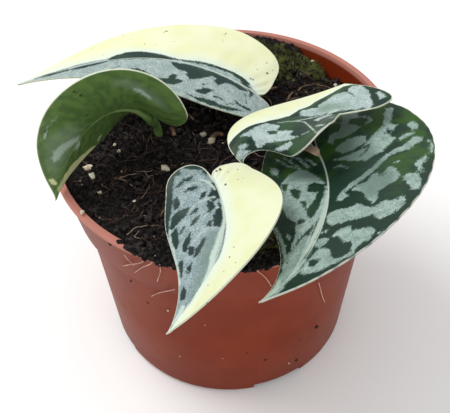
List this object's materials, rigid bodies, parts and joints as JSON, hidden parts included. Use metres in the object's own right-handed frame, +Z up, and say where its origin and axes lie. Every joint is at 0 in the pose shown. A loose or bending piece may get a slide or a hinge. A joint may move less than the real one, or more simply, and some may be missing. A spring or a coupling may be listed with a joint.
{
  "type": "potted satin pothos plant",
  "caption": "Young satin pothos with silver-splashed, cream-sectored heart-shaped leaves standing in a soil-filled terracotta-coloured plastic nursery pot.",
  "frame": {"origin": "Centre of the pot's flat underside, where the pot stands on a table", "axes": "+Z up, +Y away from the viewer of the picture, +X to the viewer's right"},
  "size_m": [0.1352, 0.143, 0.1331],
  "materials": {
    "pot_plastic": "satin moulded plastic, terracotta colour",
    "soil": "dark peat with fine root fibres",
    "cream_leaf": "satin leaf, half cream and half silver and green",
    "silver_leaf": "satin dark green leaf with silver splashes",
    "leaf_underside": "smooth green leaf underside"
  },
  "bodies": {
    "root": {"pot": "pot_plastic", "soil": "soil", "leaf_back": "cream_leaf", "leaf_left": "leaf_underside", "leaf_front": "cream_leaf", "leaf_right": "silver_leaf", "leaf_upper": "silver_leaf"}
  },
  "joints": []
}
